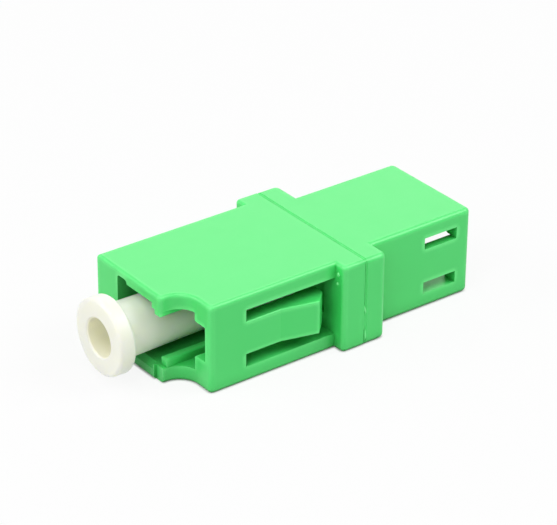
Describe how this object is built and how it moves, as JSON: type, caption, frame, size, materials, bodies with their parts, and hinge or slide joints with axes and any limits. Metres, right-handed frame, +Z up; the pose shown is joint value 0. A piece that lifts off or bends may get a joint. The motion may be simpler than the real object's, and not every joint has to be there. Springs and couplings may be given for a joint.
{
  "type": "lc fibre adapter",
  "caption": "Simplex panel adapter that joins two small-form fibre plugs end to end, with snap-in panel arms and a pull-off dust cap.",
  "frame": {"origin": "where the optical axis crosses the weld seam between the two housing halves, at the middle of the split sleeve", "axes": "+X along the optical axis and out of the open rear port, -Y towards the latch side of the plugs, +Z up as the adapter lies on its side"},
  "size_m": [0.0294, 0.0131, 0.007],
  "materials": {
    "housing_plastic": "satin moulded green plastic",
    "cap_plastic": "soft moulded ivory plastic",
    "sleeve_ceramic": "polished white zirconia"
  },
  "bodies": {
    "adapter": {"front_housing": "housing_plastic", "rear_housing": "housing_plastic", "split_sleeve": "sleeve_ceramic"},
    "dust_cap": {"dust_cap": "cap_plastic"}
  },
  "joints": [
    {"name": "cap_pull", "type": "slide", "parent": "adapter", "child": "dust_cap", "axis": [-1, 0, 0], "range_m": [0, 0.014]}
  ]
}
